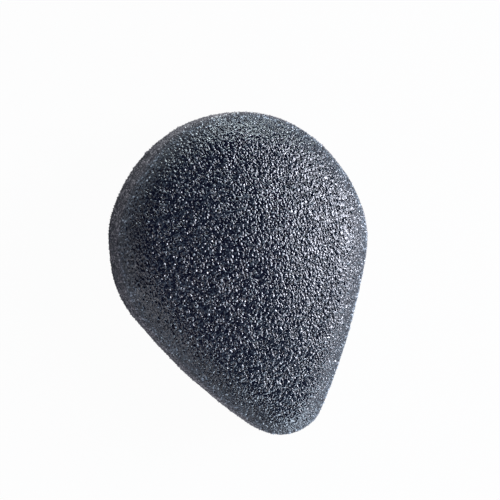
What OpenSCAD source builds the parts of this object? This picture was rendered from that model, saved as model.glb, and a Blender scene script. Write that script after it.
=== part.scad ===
// Teardrop konjac sponge for washing the face: one open-celled pad, moulded in a single piece.
// It lies on its flat back at z = 0, with the crowned face up, the round end at +Y and the
// small end at -Y. The origin is the centre of the plan box, on the back.

/* [Plan outline] */
// Length from the round end to the small end
sponge_length = 84; // [76:1:110]
// Width across the round end
sponge_width = 65; // [58:1:76]
// Radius of the small end, seen from above
tip_radius = 11.5; // [11:0.5:18]
// How far each flank swells out past a straight side
flank_swell = 1.1; // [0.2:0.1:3]

/* [Section] */
// Thickness from the flat back to the top of the crown
sponge_thickness = 32; // [28:1:44]
// Rise of the face from its shoulder to its highest point
crown_rise = 6; // [2:0.5:9]
// Radius where the side turns over into the face
shoulder_radius = 8; // [5:0.5:9]
// Radius of the edge round the flat back
back_edge_radius = 3; // [1:0.5:4]
// Lean of the side wall in degrees, which let the pad out of its mould
draft_angle = 1.5; // [0:0.5:8]

/* [Smoothness] */
// Stations round the outline
outline_stations = 72; // [48:12:144]
// Steps round the edge of the back
back_edge_steps = 3; // [2:1:5]
// Steps from the side wall over the shoulder
shoulder_steps = 6; // [4:1:12]
// Steps from the shoulder to the top of the crown
crown_steps = 7; // [5:1:14]

/* [Hidden] */

foam_colour = [0.20, 0.22, 0.26];

// The outline is two circles on the Y axis, joined by flanks that swell a little.
round_radius = sponge_width / 2;
centre_distance = sponge_length - round_radius - tip_radius;
round_centre_y = sponge_length / 2 - round_radius;
tip_centre_y = round_centre_y - centre_distance;
flank_blend = 2 * flank_swell;

// Support function: how far the outline reaches from the origin in the direction angle. It is
// the larger of the two circles' reaches, blended where they are nearly the same, which is the
// flank. Its derivative gives the point that lies there.
function half_gap(angle) = (round_radius - tip_radius + centre_distance * sin(angle)) / 2;
function blended_gap(angle) =
    let (gap = abs(half_gap(angle)))
    gap > flank_blend ? gap : (gap * gap / flank_blend + flank_blend) / 2;
function reach(angle) =
    (round_radius + tip_radius + (round_centre_y + tip_centre_y) * sin(angle)) / 2 + blended_gap(angle);
function reach_slope(angle) =
    let (side_share = half_gap(angle) / max(abs(half_gap(angle)), flank_blend))
    cos(angle) * (round_centre_y + tip_centre_y + side_share * centre_distance) / 2;
function normal(angle) = [cos(angle), sin(angle)];
function tangent(angle) = [-sin(angle), cos(angle)];
function outline_point(angle) = reach(angle) * normal(angle) + reach_slope(angle) * tangent(angle);

// Stations an equal distance apart round the outline, each named by the angle of its normal.
fine_steps = 720;
fine_points = [for (i = [0 : fine_steps]) outline_point(360 * i / fine_steps)];
fine_travel = [for (i = 0, travel = 0; i <= fine_steps;
    travel = travel + (i < fine_steps ? norm(fine_points[i + 1] - fine_points[i]) : 0), i = i + 1)
    [travel, 360 * i / fine_steps]];
outline_girth = fine_travel[fine_steps][0];
station_angles = [for (i = [0 : outline_stations - 1])
    lookup(outline_girth * i / outline_stations, fine_travel)];

// The crown: a bowl turned over, highest at crown_y and level with the shoulder at the widest
// place and at both ends of the pad.
crown_place_share = 0.05;
crown_y = crown_place_share * sponge_length;
round_end_span = sponge_length / 2 - crown_y;
tip_end_span = sponge_length / 2 + crown_y;
function crown_height(place) =
    let (across = place[0] / round_radius,
        along = (place[1] - crown_y) / (place[1] > crown_y ? round_end_span : tip_end_span))
    crown_rise * (1 - across * across - along * along);

// Side: a small round edge on the back, a wall that leans in by the draft, then the shoulder.
shoulder_centre_z = sponge_thickness - crown_rise - shoulder_radius;
wall_foot_z = back_edge_radius * (1 + sin(draft_angle));
wall_top_z = shoulder_centre_z + shoulder_radius * sin(draft_angle);
wall_foot_inset = back_edge_radius * (1 - cos(draft_angle));
wall_top_inset = wall_foot_inset + (wall_top_z - wall_foot_z) * tan(draft_angle);

// The outline drawn in along its own normals.
function drawn_in(inset) = [for (angle = station_angles) outline_point(angle) - inset * normal(angle)];
function back_edge_ring(angle) =
    [for (place = drawn_in(back_edge_radius * (1 - cos(angle))))
        [place[0], place[1], back_edge_radius * (1 + sin(angle))]];
function shoulder_ring(angle) =
    [for (place = drawn_in(wall_top_inset + shoulder_radius * (cos(draft_angle) - cos(angle))))
        [place[0], place[1], shoulder_centre_z + shoulder_radius * sin(angle) + crown_height(place)]];
// The shoulder's last ring shrunk towards the highest point, lying on the crown.
face_edge = shoulder_ring(90);
function crown_ring(spread) =
    [for (corner = face_edge)
        let (place = [corner[0] * spread, crown_y + (corner[1] - crown_y) * spread])
        [place[0], place[1], shoulder_centre_z + shoulder_radius + crown_height(place)]];

rings = concat(
    [for (i = [0 : back_edge_steps]) back_edge_ring(-90 + (90 + draft_angle) * i / back_edge_steps)],
    [for (i = [0 : shoulder_steps]) shoulder_ring(draft_angle + (90 - draft_angle) * i / shoulder_steps)],
    [for (i = [1 : crown_steps - 1]) crown_ring(1 - i / crown_steps)]);

// A closed skin over a stack of rings, flat below and brought to one point on top.
module skin(rings, top) {
    count = len(rings[0]);
    last = (len(rings) - 1) * count;
    sides = [for (j = [0 : len(rings) - 2], i = [0 : count - 1], half = [0, 1])
        let (a = j * count + i, b = j * count + (i + 1) % count)
        half == 0 ? [a, a + count, b + count] : [a, b + count, b]];
    cap = [for (i = [0 : count - 1]) [last + i, last + count, last + (i + 1) % count]];
    flat_back = [for (i = [0 : count - 1]) i];
    polyhedron(points = [for (ring = rings) each ring, top], faces = concat([flat_back], sides, cap));
}

module sponge_body() {
    color(foam_colour)
    skin(rings, [0, crown_y, sponge_thickness]);
}

sponge_body();
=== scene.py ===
import math

import bmesh
import bpy
import numpy as np
from mathutils import Matrix, Vector


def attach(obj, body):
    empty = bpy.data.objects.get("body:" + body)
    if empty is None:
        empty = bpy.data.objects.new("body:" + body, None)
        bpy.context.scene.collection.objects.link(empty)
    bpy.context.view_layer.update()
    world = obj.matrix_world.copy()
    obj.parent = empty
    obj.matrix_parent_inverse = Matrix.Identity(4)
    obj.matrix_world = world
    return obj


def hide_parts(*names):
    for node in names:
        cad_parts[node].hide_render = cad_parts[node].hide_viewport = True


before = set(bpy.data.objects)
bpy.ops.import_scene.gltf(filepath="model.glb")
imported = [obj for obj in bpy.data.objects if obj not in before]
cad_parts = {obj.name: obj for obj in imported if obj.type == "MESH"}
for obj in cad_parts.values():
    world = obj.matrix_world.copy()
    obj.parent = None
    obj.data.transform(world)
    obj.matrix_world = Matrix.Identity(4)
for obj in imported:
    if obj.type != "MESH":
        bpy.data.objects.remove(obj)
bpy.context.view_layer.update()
mm = 0.001


# An sRGB hex colour as linear values
def linearColour(hexCode):
    values = [int(hexCode[i:i + 2], 16) / 255 for i in (1, 3, 5)]
    return [v / 12.92 if v <= 0.04045 else ((v + 0.055) / 1.055) ** 2.4 for v in values] + [1.0]


def addNode(tree, kind, links=None, **settings):
    node = tree.nodes.new(kind)
    for name, value in settings.items():
        setattr(node, name, value)
    for socket, value in (links or {}).items():
        if isinstance(value, bpy.types.NodeSocket):
            tree.links.new(value, node.inputs[socket])
        else:
            node.inputs[socket].default_value = value
    return node


# Camera: a long lens straight above, a little to the left of the sponge, and turned.
view = {
    "distance": 450 * mm,
    "aim": Vector((0, 0, 16 * mm)),
    "leanLeft": math.radians(10),     # how far it stands to -X
    "leanUp": math.radians(5.5),      # how far it stands to +Y
    "roll": math.radians(14.6),
    "pixelsPerMm": 3.906,
    "aimPixel": (249.4, 276.3),       # where the aim lies in the 500 px frame
    "framePixels": 500,
}


def makeCamera():
    back = Vector((-math.sin(view["leanLeft"]), math.sin(view["leanUp"]) * math.cos(view["leanLeft"]),
                   math.cos(view["leanLeft"]) * math.cos(view["leanUp"])))
    level = Vector((0, 1, 0)).cross(back).normalized()
    rise = back.cross(level)
    turn = Matrix.Rotation(-view["roll"], 3, back)
    right, up = turn @ level, turn @ rise
    scale = view["pixelsPerMm"] / mm
    middle = view["framePixels"] / 2
    aside = (middle - view["aimPixel"][0]) / scale
    above = (view["aimPixel"][1] - middle) / scale
    data = bpy.data.cameras.new("camera")
    data.sensor_width = 36
    data.lens = data.sensor_width * view["distance"] * scale / view["framePixels"]
    data.clip_start, data.clip_end = 0.01, 20
    camera = bpy.data.objects.new("camera", data)
    camera.matrix_world = Matrix((right, up, back)).transposed().to_4x4()
    camera.location = view["aim"] + back * view["distance"] + right * aside + up * above
    bpy.context.scene.collection.objects.link(camera)
    bpy.context.scene.camera = camera


makeCamera()
print("camera made")

# Floor and light
light = {
    # a window light that rakes over the face from the right
    "key": {"towards": (0.8, -0.02, 0.6), "distance": 0.9, "size": 0.45, "watts": 12,
            "colour": "#EEF1FF"},
    # skims over the round end
    "end": {"towards": (0.33, 0.92, 0.21), "distance": 0.9, "size": 0.35, "watts": 5.5,
            "colour": "#EBF9FF"},
    # skims over the small end and the lower left flank
    "low": {"towards": (0.2, -0.96, 0.18), "distance": 0.9, "size": 0.6, "watts": 8.5,
            "colour": "#DFEFFF"},
    # skims over the right flank
    "right": {"towards": (0.95, -0.27, 0.16), "distance": 0.9, "size": 1.0, "watts": 5.5,
              "colour": "#F0F4FF"},
    # a dim glow on the left side wall
    "left": {"towards": (-0.9, -0.3, 0.36), "distance": 0.9, "size": 0.7, "watts": 1.9,
             "colour": "#F6F7FF"},
}
skyStrength = 0.07
skyColour = "#6C88FF"
floorSize = 6.0
floorTone = (0.38, 0.42)       # the card's own grey, under the white that the camera sees
paperGrainsPerMetre = 900.0    # drawn coarser than real card's, so that it can show
floorWhite = 0.97              # share of the floor that the camera sees as plain white


def makeLamps():
    for name, lamp in light.items():
        data = bpy.data.lights.new(name, "AREA")
        data.shape = "DISK"
        data.size = lamp["size"]
        data.energy = lamp["watts"]
        data.color = linearColour(lamp["colour"])[:3]
        towards = Vector(lamp["towards"]).normalized()
        holder = bpy.data.objects.new(name, data)
        holder.location = towards * lamp["distance"]
        holder.rotation_euler = towards.to_track_quat("Z", "Y").to_euler()
        bpy.context.scene.collection.objects.link(holder)


def makeWorld():
    world = bpy.data.worlds.new("studio")
    bpy.context.scene.world = world
    world.use_nodes = True
    tree = world.node_tree
    tree.nodes.clear()
    path = addNode(tree, "ShaderNodeLightPath")
    # White to the camera and through glass. Glossy rays are left out: they turn the dark damp foam pale.
    seen = addNode(tree, "ShaderNodeMath",
                   {0: path.outputs["Is Camera Ray"], 1: path.outputs["Is Transmission Ray"]},
                   operation="MAXIMUM")
    strength = addNode(tree, "ShaderNodeMix", {0: seen.outputs[0], 2: skyStrength, 3: 1.0})
    tint = addNode(tree, "ShaderNodeMix",
                   {0: seen.outputs[0], 6: linearColour(skyColour), 7: (1, 1, 1, 1)},
                   data_type="RGBA")
    sky = addNode(tree, "ShaderNodeBackground",
                  {"Color": tint.outputs[2], "Strength": strength.outputs[0]})
    addNode(tree, "ShaderNodeOutputWorld", {"Surface": sky.outputs[0]})


def makeFloor():
    # Seamless studio paper: matt white card, so it shows no gloss, only a faint shadow.
    paper = bpy.data.materials.new("seamlessStudioPaper")
    paper.use_nodes = True
    tree = paper.node_tree
    tree.nodes.clear()
    path = addNode(tree, "ShaderNodeLightPath")
    # White to the camera and through glass. Glossy rays are left out: they turn the dark damp foam pale.
    seen = addNode(tree, "ShaderNodeMath",
                   {0: path.outputs["Is Camera Ray"], 1: path.outputs["Is Transmission Ray"]},
                   operation="MAXIMUM")
    grain = addNode(tree, "ShaderNodeTexNoise", {"Scale": paperGrainsPerMetre, "Detail": 2.0})
    tone = addNode(tree, "ShaderNodeMapRange",
                   {"Value": grain.outputs[0], "To Min": floorTone[0], "To Max": floorTone[1]})
    matt = addNode(tree, "ShaderNodeBsdfDiffuse", {"Color": tone.outputs[0]})
    white = addNode(tree, "ShaderNodeEmission", {"Color": (1, 1, 1, 1), "Strength": 1.0})
    share = addNode(tree, "ShaderNodeMath", {0: seen.outputs[0], 1: floorWhite}, operation="MULTIPLY")
    both = addNode(tree, "ShaderNodeMixShader",
                   {0: share.outputs[0], 1: matt.outputs[0], 2: white.outputs[0]})
    addNode(tree, "ShaderNodeOutputMaterial", {"Surface": both.outputs[0]})
    mesh = bpy.data.meshes.new("floor")
    half = floorSize / 2
    corners = [(-half, -half, 0), (half, -half, 0), (half, half, 0), (-half, half, 0)]
    mesh.from_pydata(corners, [], [(0, 1, 2, 3)])
    mesh.materials.append(paper)
    floor = bpy.data.objects.new("floor", mesh)
    bpy.context.scene.collection.objects.link(floor)


makeLamps()
makeWorld()
makeFloor()
bpy.context.scene.view_settings.view_transform = "Standard"
print("floor and light made")

# The pad's own unevenness: how far its outline stands out from the CAD's, every 10 degrees from +X
form = {
    "gridMm": 0.55,            # squares of the smooth skin, before they are divided
    "divisions": 2,
    "centreMm": (-1.6, 8.7),
    "standOutMm": (0.46, 0.40, 0.27, 0.15, 0.29, 0.56, 0.72, 0.69, 0.31, 0.12, -0.08, -0.43,
                   -0.69, -0.78, -0.66, -0.44, -0.05, 0.01, 0.25, 0.54, 0.63, 0.51, 0.56, 0.55,
                   0.57, 0.48, 0.25, 0.36, 0.32, 0.22, -0.04, -0.12, 0.07, 0.18, 0.30, 0.51),
}
# The foam's relief
foam = {
    "seed": 7,
    "poreSpacingMm": 0.56,     # round pores between the walls
    "poreDepthMm": 0.22,
    "ridgeSpacingMm": 0.44,    # thin ragged walls that stand up
    "ridgeHeightMm": 0.21,
    "ridgeWidthShare": 0.2,
    "crumbSpacingMm": 0.3,     # grains on and between the walls
    "crumbHeightMm": 0.12,
    "stretch": 1.7,            # pores, walls and grains are longer along the pad
    "grainTurn": 12,           # degrees that the longer way is turned from the pad's length
    "wallStretch": 2,          # and longer down the side wall
    "holeSpacingMm": 1.35,     # larger pores, here and there
    "holeDepthMm": 0.3,
    "holeShare": 0.45,         # how wide the widest are, in spacings
    "lipHeightMm": 0.24,       # thin raised lip round each of them, broken here and there
    "lipWidthShare": 0.09,
    "fleckSpacingMm": 0.75,    # ends of walls on the sides and the shoulder, painted pale as a highlight
    "fleckHeightMm": 0.25,
    "fleckStretch": 2.2,       # longer down the side
    # painted highlight: how much paler the flecks are drawn
    "fleckPaintedHighlight": 0.45,
    "sidePaintedShading": 0.9,       # painted light and shade: crests painted paler and pores darker by this share on the sides
    "warpMm": 0.3,
    "warpSpacingMm": 0.8,
    "creaseZMm": 19.5,         # the mould's parting line runs round the top of the wall
    "creaseDropMm": 1.3,       # and a second one lies this much lower
    "creaseHeightMm": 0.2,
    "creaseWidthMm": 0.35,
    "creaseSmoothing": 0.5,    # share of the relief that a crease presses flat
    "creasePaintedHighlight": 0.2,         # painted highlight: how much paler a crease is drawn
    "creaseSwayMm": 0.9,       # how far it wanders up and down
    "creaseBendMm": 9,         # length of one bend
    "groundTone": 0.55,        # tone between pores and walls, which the painted side shading leaves alone
    "lumpMm": 0.35,            # soft unevenness of the whole pad
    "lumpSpacingMm": 17,
}
# The damp gel's finish
gel = {
    "grainMm": 0.35,                      # unevenness of the wet film, drawn coarser so that it shows
    "grainStrength": 0.3,
    "grainDepthMm": 0.2,
    "dampRoughness": (0.04, 0.22),
    "dryRoughness": 0.55,                 # added in the pores of the side wall
    "dryRelief": (0.3, 0.6),              # wholly dry below, wholly wet above
    "ior": 1.5,
    "specularLevel": 1.0,
    "sheen": 0.02,
    "sheenRoughness": 0.5,
    "toneRange": 1.5,                     # relief at which the palest colour is reached
    "toneStops": (0.07, 0.41, 0.67, 1.0),  # a pore's floor, darkened as painted shade; between pores and walls; a wall; a fleck, paled as a painted highlight
    # the gel's own dark blue-grey, with painted shade in the pores and painted highlights on flecks and
    # creases; the wall ramp's warmer tint is painted warm light on the side wall
    "faceColoursWithPaintedShade": ("#05070C", "#0A0D18", "#4D565C", "#A9B1B8"),
    "wallColoursWithPaintedLight": ("#050405", "#110F11", "#5E585A", "#A19A98"),
}


# The pad's CAD form as an even net of squares
def smoothSkin():
    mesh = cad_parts["sponge_body"].data.copy()
    net = bmesh.new()
    net.from_mesh(mesh)
    bmesh.ops.remove_doubles(net, verts=net.verts, dist=0.001 * mm)
    net.to_mesh(mesh)
    net.free()
    mesh.materials.clear()
    pad = bpy.data.objects.new("konjacPad", mesh)
    bpy.context.scene.collection.objects.link(pad)
    remesh = pad.modifiers.new("net", "REMESH")
    remesh.mode = "VOXEL"
    remesh.voxel_size = form["gridMm"] * mm
    soften = pad.modifiers.new("soften", "SMOOTH")
    soften.factor, soften.iterations = 0.5, 12
    divide = pad.modifiers.new("divide", "SUBSURF")
    divide.levels = divide.render_levels = form["divisions"]
    bake(pad)
    trimOutline(pad.data)
    mapSkin(pad.data)
    return pad


def vertexPlaces(mesh):
    places = np.empty(3 * len(mesh.vertices), np.float32)
    mesh.vertices.foreach_get("co", places)
    return places.reshape(-1, 3)


# Moves the skin out and in round its rim, less towards the middle
def trimOutline(mesh):
    places = vertexPlaces(mesh)
    centre = np.array(form["centreMm"]) * mm
    away = places[:, :2] - centre
    reach = np.hypot(away[:, 0], away[:, 1])
    degrees = np.degrees(np.arctan2(away[:, 1], away[:, 0])) % 360
    wide = np.array(form["standOutMm"]) * mm
    standOut = np.interp(degrees, np.arange(0, 360, 360 / len(wide)), wide, period=360)
    rim = np.zeros(72)
    np.maximum.at(rim, (degrees / 5).astype(int) % 72, reach)
    share = np.clip(reach / np.interp(degrees, np.arange(2.5, 360, 5), rim, period=360), 0, 1) ** 3
    places[:, :2] += away / np.maximum(reach, 1e-6)[:, None] * (standOut * share)[:, None]
    mesh.vertices.foreach_set("co", places.ravel())
    mesh.update()


# A flat map of the skin, all in one scale: face and back side by side, and the wall in two strips
def mapSkin(mesh):
    places = vertexPlaces(mesh)
    normals = np.empty(3 * len(mesh.polygons), np.float32)
    mesh.polygons.foreach_get("normal", normals)
    up = normals.reshape(-1, 3)[:, 2]
    corners = np.empty(len(mesh.loops), np.int32)
    mesh.loops.foreach_get("vertex_index", corners)
    counts = np.empty(len(mesh.polygons), np.int32)
    mesh.polygons.foreach_get("loop_total", counts)
    faceOf = np.repeat(np.arange(len(counts)), counts)
    spot = places[corners] / mm
    middle = np.add.reduceat(spot, np.concatenate([[0], np.cumsum(counts)[:-1]])) / counts[:, None]
    low, high = spot.min(0) - 1, spot.max(0) + 1
    width, length, thick = high - low
    face, back = (up > 0.5)[faceOf], (up < -0.5)[faceOf]
    right = (middle[:, 0] > 0)[faceOf]
    u = np.where(back, width + high[0] - spot[:, 0], spot[:, 0] - low[0])
    v = spot[:, 1] - low[1]
    # Travel along the wall, from the tip to the round end
    degrees = np.degrees(np.arctan2(spot[:, 1], np.abs(spot[:, 0])))
    degrees = np.where((spot[:, 0] > 0) == right, degrees,
                       np.where(degrees > 0, 180 - degrees, -180 - degrees))
    rim = np.zeros(200)
    np.maximum.at(rim, np.clip(degrees + 100, 0, 199).astype(int), np.hypot(spot[:, 0], spot[:, 1]))
    rim = np.where(rim > 0, rim, rim[rim > 0].mean())
    bins = np.arange(200) - 99.5    # a degree each, with room past both ends
    angles = np.radians(bins)
    ends = np.stack([np.cos(angles), np.sin(angles)], 1) * rim[:, None]
    travel = np.concatenate([[0], np.cumsum(np.hypot(*np.diff(ends, axis=0).T))])
    along = np.interp(degrees, bins, travel) - np.interp(-95, bins, travel)
    wall = ~face & ~back
    u = np.where(wall, along + 1, u)
    v = np.where(wall, length + spot[:, 2] - low[2] + np.where(right, 0, thick), v)
    side = max(u.max(), v.max()) + 1
    flat = mesh.uv_layers.new(name="OFBake")
    flat.data.foreach_set("uv", (np.stack([u, v], 1) / side).astype(np.float32).ravel())


# What the modifiers show becomes the object's plain mesh
def bake(pad):
    shown = pad.evaluated_get(bpy.context.evaluated_depsgraph_get())
    mesh = bpy.data.meshes.new_from_object(shown)
    pad.modifiers.clear()
    pad.data = mesh
    return pad


# Presses the foam's relief into the skin. values holds each input by name, in metres, radians or shares
def foamTree(values, material):
    tree = bpy.data.node_groups.new("foamSkin", "GeometryNodeTree")
    sockets = tree.interface
    sockets.new_socket("Geometry", in_out="OUTPUT", socket_type="NodeSocketGeometry")
    sockets.new_socket("Geometry", in_out="INPUT", socket_type="NodeSocketGeometry")
    for name in values:
        sockets.new_socket(name, in_out="INPUT", socket_type="NodeSocketFloat")
    given = addNode(tree, "NodeGroupInput").outputs
    place = addNode(tree, "GeometryNodeInputPosition").outputs[0]
    normal = addNode(tree, "GeometryNodeInputNormal").outputs[0]

    shift = addNode(tree, "ShaderNodeVectorMath", {0: (0.37, 0.71, 0.53), "Scale": given["Seed"]},
                    operation="SCALE")
    seeded = addNode(tree, "ShaderNodeVectorMath", {0: place, 1: shift.outputs[0]},
                     operation="ADD").outputs[0]

    def over(value):
        return addNode(tree, "ShaderNodeMath", {0: 1.0, 1: value}, operation="DIVIDE").outputs[0]

    # Soft lumps of the whole pad
    lump = addNode(tree, "ShaderNodeTexNoise",
                   {"Vector": seeded, "Scale": over(given["Lump spacing"]), "Detail": 1.0})
    lumpRise = addNode(tree, "ShaderNodeMath", {0: lump.outputs[0], 1: 0.5}, operation="SUBTRACT")
    lumpHeight = addNode(tree, "ShaderNodeMath", {0: lumpRise.outputs[0], 1: given["Lump"]},
                         operation="MULTIPLY")

    # Warp, so that the relief is no tidy pattern
    warpNoise = addNode(tree, "ShaderNodeTexNoise",
                        {"Vector": seeded, "Scale": over(given["Warp spacing"]), "Detail": 1.0})
    centred = addNode(tree, "ShaderNodeVectorMath", {0: warpNoise.outputs[1], 1: (0.5, 0.5, 0.5)},
                      operation="SUBTRACT")
    warp = addNode(tree, "ShaderNodeVectorMath", {0: centred.outputs[0], "Scale": given["Warp"]},
                   operation="SCALE")
    warped = addNode(tree, "ShaderNodeVectorMath", {0: seeded, 1: warp.outputs[0]},
                     operation="ADD").outputs[0]
    alongPad = addNode(tree, "ShaderNodeCombineXYZ",
                       {0: 1.0, 1: over(given["Stretch"]), 2: over(given["Wall stretch"])})
    turned = addNode(tree, "ShaderNodeVectorRotate", {"Vector": warped, "Angle": given["Grain turn"]},
                     rotation_type="Z_AXIS", invert=True)
    stretched = addNode(tree, "ShaderNodeVectorMath", {0: turned.outputs[0], 1: alongPad.outputs[0]},
                        operation="MULTIPLY").outputs[0]

    # Pores: round pits, each with a width of its own
    cells = addNode(tree, "ShaderNodeTexVoronoi",
                    {"Vector": stretched, "Scale": over(given["Pore spacing"])}, feature="F1")
    luck = addNode(tree, "ShaderNodeSeparateXYZ", {0: cells.outputs["Color"]}).outputs
    width = addNode(tree, "ShaderNodeMapRange", {"Value": luck[0], "To Min": 0.2, "To Max": 0.8})
    pit = addNode(tree, "ShaderNodeMapRange",
                  {"Value": cells.outputs["Distance"], "From Min": 0.1, "From Max": width.outputs[0],
                   "To Min": 1.0, "To Max": 0.0}, interpolation_type="SMOOTHSTEP").outputs[0]

    # Walls: the crests of a noise, which rise and sink along their length
    veins = addNode(tree, "ShaderNodeTexNoise",
                    {"Vector": stretched, "Scale": over(given["Ridge spacing"]), "Detail": 1.0,
                     "Roughness": 0.6})
    fromMiddle = addNode(tree, "ShaderNodeMath", {0: veins.outputs[0], 1: 0.5}, operation="SUBTRACT")
    apart = addNode(tree, "ShaderNodeMath", {0: fromMiddle.outputs[0]}, operation="ABSOLUTE")
    crest = addNode(tree, "ShaderNodeMapRange",
                    {"Value": apart.outputs[0], "From Min": 0.0, "From Max": given["Ridge width"],
                     "To Min": 1.0, "To Max": 0.0},
                    interpolation_type="SMOOTHSTEP")
    wave = addNode(tree, "ShaderNodeTexNoise",
                   {"Vector": seeded, "Scale": over(given["Ridge spacing"]), "Detail": 2.0})
    rise = addNode(tree, "ShaderNodeMapRange",
                   {"Value": wave.outputs[0], "From Min": 0.4, "From Max": 0.65,
                    "To Min": 0.15, "To Max": 1.0})
    ridge = addNode(tree, "ShaderNodeMath", {0: crest.outputs[0], 1: rise.outputs[0]},
                    operation="MULTIPLY").outputs[0]

    # Grains: small round bumps
    grains = addNode(tree, "ShaderNodeTexVoronoi",
                     {"Vector": stretched, "Scale": over(given["Crumb spacing"])}, feature="F1")
    grainLuck = addNode(tree, "ShaderNodeSeparateXYZ", {0: grains.outputs["Color"]}).outputs
    grainWidth = addNode(tree, "ShaderNodeMapRange",
                         {"Value": grainLuck[1], "To Min": 0.1, "To Max": 0.6})
    crumb = addNode(tree, "ShaderNodeMapRange",
                    {"Value": grains.outputs["Distance"], "From Min": 0.0,
                     "From Max": grainWidth.outputs[0],
                     "To Min": 1.0, "To Max": 0.0}, interpolation_type="SMOOTHSTEP").outputs[0]

    # Larger pores, most of them narrow or missing
    gaps = addNode(tree, "ShaderNodeTexVoronoi", {"Vector": warped, "Scale": over(given["Hole spacing"])},
                   feature="F1")
    gapLuck = addNode(tree, "ShaderNodeSeparateXYZ", {0: gaps.outputs["Color"]}).outputs
    gapWidth = addNode(tree, "ShaderNodeMapRange", {"Value": gapLuck[0], "From Min": 0.3, "To Min": 0.02,
                                                    "To Max": given["Hole share"]})
    hole = addNode(tree, "ShaderNodeMapRange",
                   {"Value": gaps.outputs["Distance"], "From Min": 0.0, "From Max": gapWidth.outputs[0],
                    "To Min": 1.0, "To Max": 0.0}, interpolation_type="SMOOTHSTEP").outputs[0]
    # Lips: a thin ring round each larger pore that is wide enough, broken like the walls
    fromEdge = addNode(tree, "ShaderNodeMath", {0: gaps.outputs["Distance"], 1: gapWidth.outputs[0]},
                       operation="SUBTRACT")
    edgeGap = addNode(tree, "ShaderNodeMath", {0: fromEdge.outputs[0]}, operation="ABSOLUTE")
    edge = addNode(tree, "ShaderNodeMapRange",
                   {"Value": edgeGap.outputs[0], "From Min": 0.0, "From Max": given["Lip width"],
                    "To Min": 1.0, "To Max": 0.0},
                   interpolation_type="SMOOTHSTEP")
    wideEnough = addNode(tree, "ShaderNodeMapRange",
                         {"Value": gapWidth.outputs[0], "From Min": 0.05, "From Max": 0.2})
    ring = addNode(tree, "ShaderNodeMath", {0: edge.outputs[0], 1: wideEnough.outputs[0]},
                   operation="MULTIPLY")
    lip = addNode(tree, "ShaderNodeMath", {0: ring.outputs[0], 1: rise.outputs[0]},
                  operation="MULTIPLY").outputs[0]

    # Flecks: ends of walls, where the side is steep
    facing = addNode(tree, "ShaderNodeSeparateXYZ", {0: normal}).outputs[2]
    down = addNode(tree, "ShaderNodeCombineXYZ", {0: 1.0, 1: 1.0, 2: over(given["Fleck stretch"])})
    fleckPlace = addNode(tree, "ShaderNodeVectorMath", {0: warped, 1: down.outputs[0]},
                         operation="MULTIPLY").outputs[0]
    specks = addNode(tree, "ShaderNodeTexVoronoi",
                     {"Vector": fleckPlace, "Scale": over(given["Fleck spacing"])},
                     feature="F1")
    speckLuck = addNode(tree, "ShaderNodeSeparateXYZ", {0: specks.outputs["Color"]}).outputs
    speckWidth = addNode(tree, "ShaderNodeMapRange",
                         {"Value": speckLuck[2], "From Min": 0.15, "To Min": 0.02, "To Max": 0.65})
    speck = addNode(tree, "ShaderNodeMapRange",
                    {"Value": specks.outputs["Distance"], "From Min": 0.0,
                     "From Max": speckWidth.outputs[0],
                     "To Min": 1.0, "To Max": 0.0}, interpolation_type="SMOOTHSTEP").outputs[0]
    steep = addNode(tree, "ShaderNodeMapRange", {"Value": facing, "From Min": 0.35, "From Max": 0.75,
                                                 "To Min": 1.0, "To Max": 0.0},
                    interpolation_type="SMOOTHSTEP")
    fleck = addNode(tree, "ShaderNodeMath", {0: speck, 1: steep.outputs[0]},
                    operation="MULTIPLY").outputs[0]

    # Creases: thin wavy lines round the top of the wall, which come and go
    level = addNode(tree, "ShaderNodeSeparateXYZ", {0: place}).outputs[2]
    crease = 0.0
    for step in range(2):
        aside = addNode(tree, "ShaderNodeVectorMath", {0: seeded, 1: (0.05 * step, 0.0, 0.0)},
                        operation="ADD").outputs[0]
        bend = addNode(tree, "ShaderNodeTexNoise",
                       {"Vector": aside, "Scale": over(given["Crease bend"]), "Detail": 1.0})
        sway = addNode(tree, "ShaderNodeMapRange",
                       {"Value": bend.outputs[0], "From Min": 0.3, "From Max": 0.7,
                        "To Min": -1.0, "To Max": 1.0})
        height = addNode(tree, "ShaderNodeMath",
                         {0: given["Crease drop"], 1: -step, 2: given["Crease level"]},
                         operation="MULTIPLY_ADD")
        middle = addNode(tree, "ShaderNodeMath",
                         {0: sway.outputs[0], 1: given["Crease sway"], 2: height.outputs[0]},
                         operation="MULTIPLY_ADD")
        off = addNode(tree, "ShaderNodeMath", {0: level, 1: middle.outputs[0]}, operation="SUBTRACT")
        gap = addNode(tree, "ShaderNodeMath", {0: off.outputs[0]}, operation="ABSOLUTE")
        line = addNode(tree, "ShaderNodeMapRange",
                       {"Value": gap.outputs[0], "From Min": 0.0, "From Max": given["Crease width"],
                        "To Min": 1.0, "To Max": 0.0}, interpolation_type="SMOOTHSTEP")
        spread = addNode(tree, "ShaderNodeTexNoise",
                         {"Vector": aside, "Scale": over(given["Lump spacing"]), "Detail": 2.0})
        there = addNode(tree, "ShaderNodeMapRange",
                        {"Value": spread.outputs[0], "From Min": 0.42, "From Max": 0.55})
        shown = addNode(tree, "ShaderNodeMath", {0: line.outputs[0], 1: there.outputs[0]},
                        operation="MULTIPLY")
        crease = addNode(tree, "ShaderNodeMath", {0: shown.outputs[0], 1: crease},
                         operation="MAXIMUM").outputs[0]

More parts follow.
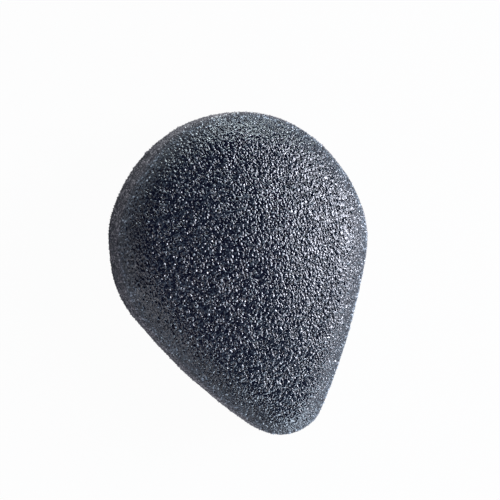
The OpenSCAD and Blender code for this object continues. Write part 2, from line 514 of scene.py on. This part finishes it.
    # All of it together
    walls = addNode(tree, "ShaderNodeMath", {0: ridge, 1: given["Ridge height"]}, operation="MULTIPLY")
    bumps = addNode(tree, "ShaderNodeMath", {0: crumb, 1: given["Crumb height"], 2: walls.outputs[0]},
                    operation="MULTIPLY_ADD")
    pores = addNode(tree, "ShaderNodeMath", {0: pit, 1: given["Pore depth"]}, operation="MULTIPLY")
    deeper = addNode(tree, "ShaderNodeMath", {0: hole, 1: given["Hole depth"], 2: pores.outputs[0]},
                     operation="MULTIPLY_ADD")
    lips = addNode(tree, "ShaderNodeMath", {0: lip, 1: given["Lip height"], 2: bumps.outputs[0]},
                   operation="MULTIPLY_ADD")
    taller = addNode(tree, "ShaderNodeMath", {0: fleck, 1: given["Fleck height"], 2: lips.outputs[0]},
                     operation="MULTIPLY_ADD")
    relief = addNode(tree, "ShaderNodeMath", {0: taller.outputs[0], 1: deeper.outputs[0]},
                     operation="SUBTRACT")
    lowered = addNode(tree, "ShaderNodeMath", {0: relief.outputs[0], 1: given["Ridge height"]},
                      operation="SUBTRACT")
    smoothed = addNode(tree, "ShaderNodeMath", {0: crease, 1: given["Crease smoothing"]},
                       operation="MULTIPLY")
    smooth = addNode(tree, "ShaderNodeMath", {0: 1.0, 1: smoothed.outputs[0]}, operation="SUBTRACT")
    skin = addNode(tree, "ShaderNodeMath",
                   {0: lowered.outputs[0], 1: smooth.outputs[0], 2: lumpHeight.outputs[0]},
                   operation="MULTIPLY_ADD")
    height = addNode(tree, "ShaderNodeMath", {0: crease, 1: given["Crease height"], 2: skin.outputs[0]},
                     operation="MULTIPLY_ADD")

    move = addNode(tree, "ShaderNodeVectorMath", {0: normal, "Scale": height.outputs[0]},
                   operation="SCALE")
    # 0 at the floor of a pore, 0.5 between pores and walls, 1 on the highest walls, more on a fleck. This
    # tone sets the colour: pores darker as painted shade, walls paler partly as their own drier colour
    # and partly as painted highlight
    above = addNode(tree, "ShaderNodeMath", {0: relief.outputs[0], 1: given["Pore depth"]},
                    operation="ADD")
    span = addNode(tree, "ShaderNodeMath", {0: given["Pore depth"], 1: given["Ridge height"]},
                   operation="ADD")
    high = addNode(tree, "ShaderNodeMath", {0: above.outputs[0], 1: span.outputs[0]}, operation="DIVIDE")
    # Creases drawn paler: a painted highlight
    tall = addNode(tree, "ShaderNodeMath", {0: crease, 1: given["Crease painted highlight"], 2: high.outputs[0]},
                   operation="MULTIPLY_ADD")
    # On the steep sides crests are drawn paler and pores darker: painted light and shade
    sideShadeGain = addNode(tree, "ShaderNodeMath", {0: steep.outputs[0], 1: given["Side painted shading"], 2: 1.0},
                   operation="MULTIPLY_ADD")
    fromGround = addNode(tree, "ShaderNodeMath", {0: tall.outputs[0], 1: given["Ground tone"]},
                         operation="SUBTRACT")
    clear = addNode(tree, "ShaderNodeMath",
                    {0: fromGround.outputs[0], 1: sideShadeGain.outputs[0], 2: given["Ground tone"]},
                    operation="MULTIPLY_ADD")
    # Flecks drawn paler: a painted highlight
    pale = addNode(tree, "ShaderNodeMath", {0: fleck, 1: given["Fleck painted highlight"], 2: clear.outputs[0]},
                   operation="MULTIPLY_ADD")
    kept = addNode(tree, "GeometryNodeStoreNamedAttribute",
                   {"Geometry": given["Geometry"], "Name": "relief", "Value": pale.outputs[0]},
                   data_type="FLOAT", domain="POINT")
    upright = addNode(tree, "ShaderNodeMapRange", {"Value": facing, "From Min": 0.1, "From Max": 0.4,
                                                   "To Min": 1.0, "To Max": 0.0},
                      interpolation_type="SMOOTHSTEP")
    named = addNode(tree, "GeometryNodeStoreNamedAttribute",
                    {"Geometry": kept.outputs[0], "Name": "wall", "Value": upright.outputs[0]},
                    data_type="FLOAT", domain="POINT")
    pressed = addNode(tree, "GeometryNodeSetPosition",
                      {"Geometry": named.outputs[0], "Offset": move.outputs[0]})
    moved = addNode(tree, "GeometryNodeInputPosition").outputs[0]
    parts = addNode(tree, "ShaderNodeSeparateXYZ", {0: moved})
    overFloor = addNode(tree, "ShaderNodeMath", {0: parts.outputs[2], 1: 0.0}, operation="MAXIMUM")
    onFloor = addNode(tree, "ShaderNodeCombineXYZ",
                      {0: parts.outputs[0], 1: parts.outputs[1], 2: overFloor.outputs[0]})
    rested = addNode(tree, "GeometryNodeSetPosition",
                     {"Geometry": pressed.outputs[0], "Position": onFloor.outputs[0]})
    real = addNode(tree, "GeometryNodeRealizeInstances", {"Geometry": rested.outputs[0]})
    worn = addNode(tree, "GeometryNodeSetMaterial", {"Geometry": real.outputs[0], "Material": material})
    addNode(tree, "NodeGroupOutput", {"Geometry": worn.outputs[0]})
    return tree


def mouldedKonjacFoam():
    # Konjac gel foam with charcoal, moulded, frozen and thawed, and still damp. The eye sees
    # blue-grey walls that glint where they are wet, and round pores that are nearly black. The
    # colour darkens the pores as painted shade, and pales flecks and creases as painted highlights.
    material = bpy.data.materials.new("mouldedKonjacFoam")
    material.use_nodes = True
    tree = material.node_tree
    tree.nodes.clear()
    relief = addNode(tree, "ShaderNodeAttribute", attribute_name="relief").outputs["Fac"]
    where = addNode(tree, "ShaderNodeTexCoord").outputs["Object"]
    wall = addNode(tree, "ShaderNodeAttribute", attribute_name="wall").outputs["Fac"]
    # The relief tone picks the colour: darker in the pores as painted shade, paler on the walls partly as
    # painted highlight
    shade = addNode(tree, "ShaderNodeMath", {0: relief, 1: gel["toneRange"]}, operation="DIVIDE")
    tints = []
    for colours in (gel["faceColoursWithPaintedShade"], gel["wallColoursWithPaintedLight"]):
        tint = addNode(tree, "ShaderNodeValToRGB", {0: shade.outputs[0]})
        ramp = tint.color_ramp
        ramp.elements[0].position = gel["toneStops"][0]
        ramp.elements[1].position = gel["toneStops"][-1]
        for stop in gel["toneStops"][1:-1]:
            ramp.elements.new(stop)
        for stop, colour in zip(ramp.elements, colours):
            stop.color = linearColour(colour)
        tints.append(tint.outputs[0])
    tone = addNode(tree, "ShaderNodeMix", {0: wall, 6: tints[0], 7: tints[1]}, data_type="RGBA")
    grain = addNode(tree, "ShaderNodeTexNoise",
                    {"Vector": where, "Scale": 1 / (gel["grainMm"] * mm), "Detail": 2.0})
    bump = addNode(tree, "ShaderNodeBump",
                   {"Height": grain.outputs[0], "Strength": gel["grainStrength"],
                    "Distance": gel["grainDepthMm"] * mm})
    # Wet and smooth, but on the wall only on the crests
    wet = addNode(tree, "ShaderNodeMapRange",
                  {"Value": relief, "From Min": gel["dryRelief"][0], "From Max": gel["dryRelief"][1],
                   "To Min": gel["dryRoughness"], "To Max": 0.0},
                  interpolation_type="SMOOTHSTEP")
    damp = addNode(tree, "ShaderNodeMapRange",
                   {"Value": grain.outputs[0], "To Min": gel["dampRoughness"][0],
                    "To Max": gel["dampRoughness"][1]})
    gloss = addNode(tree, "ShaderNodeMath", {0: wet.outputs[0], 1: wall, 2: damp.outputs[0]},
                    operation="MULTIPLY_ADD")
    surface = addNode(tree, "ShaderNodeBsdfPrincipled",
                      {"Base Color": tone.outputs[2], "Roughness": gloss.outputs[0],
                       "Normal": bump.outputs[0],
                       "IOR": gel["ior"], "Specular IOR Level": gel["specularLevel"],
                       "Sheen Weight": gel["sheen"],
                       "Sheen Roughness": gel["sheenRoughness"]})
    addNode(tree, "ShaderNodeOutputMaterial", {"Surface": surface.outputs[0]})
    return material


def makePad():
    pad = smoothSkin()
    values = {
        "Pore spacing": foam["poreSpacingMm"] * mm, "Pore depth": foam["poreDepthMm"] * mm,
        "Ridge spacing": foam["ridgeSpacingMm"] * mm, "Ridge height": foam["ridgeHeightMm"] * mm,
        "Ridge width": foam["ridgeWidthShare"],
        "Crumb spacing": foam["crumbSpacingMm"] * mm, "Crumb height": foam["crumbHeightMm"] * mm,
        "Hole spacing": foam["holeSpacingMm"] * mm, "Hole depth": foam["holeDepthMm"] * mm,
        "Hole share": foam["holeShare"], "Lip height": foam["lipHeightMm"] * mm,
        "Lip width": foam["lipWidthShare"],
        "Fleck spacing": foam["fleckSpacingMm"] * mm,
        "Fleck height": foam["fleckHeightMm"] * mm, "Fleck stretch": foam["fleckStretch"],
        "Fleck painted highlight": foam["fleckPaintedHighlight"], "Side painted shading": foam["sidePaintedShading"],
        "Stretch": foam["stretch"], "Grain turn": math.radians(foam["grainTurn"]),
        "Wall stretch": foam["wallStretch"],
        "Warp": foam["warpMm"] * mm, "Warp spacing": foam["warpSpacingMm"] * mm,
        "Crease level": foam["creaseZMm"] * mm,
        "Crease drop": foam["creaseDropMm"] * mm,
        "Crease height": foam["creaseHeightMm"] * mm, "Crease width": foam["creaseWidthMm"] * mm,
        "Crease smoothing": foam["creaseSmoothing"], "Crease painted highlight": foam["creasePaintedHighlight"],
        "Crease sway": foam["creaseSwayMm"] * mm, "Crease bend": foam["creaseBendMm"] * mm,
        "Ground tone": foam["groundTone"],
        "Lump": 2 * foam["lumpMm"] * mm,
        "Lump spacing": foam["lumpSpacingMm"] * mm, "Seed": float(foam["seed"]),
    }
    tree = foamTree(values, mouldedKonjacFoam())
    modifier = pad.modifiers.new("foam", "NODES")
    modifier.node_group = tree
    for item in tree.interface.items_tree:
        if item.in_out == "INPUT" and item.name in values:
            modifier[item.identifier] = values[item.name]
    bake(pad)
    pad.data.shade_smooth()
    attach(pad, "root")
    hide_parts("sponge_body")
    print("pad made,", len(pad.data.polygons), "faces")


makePad()
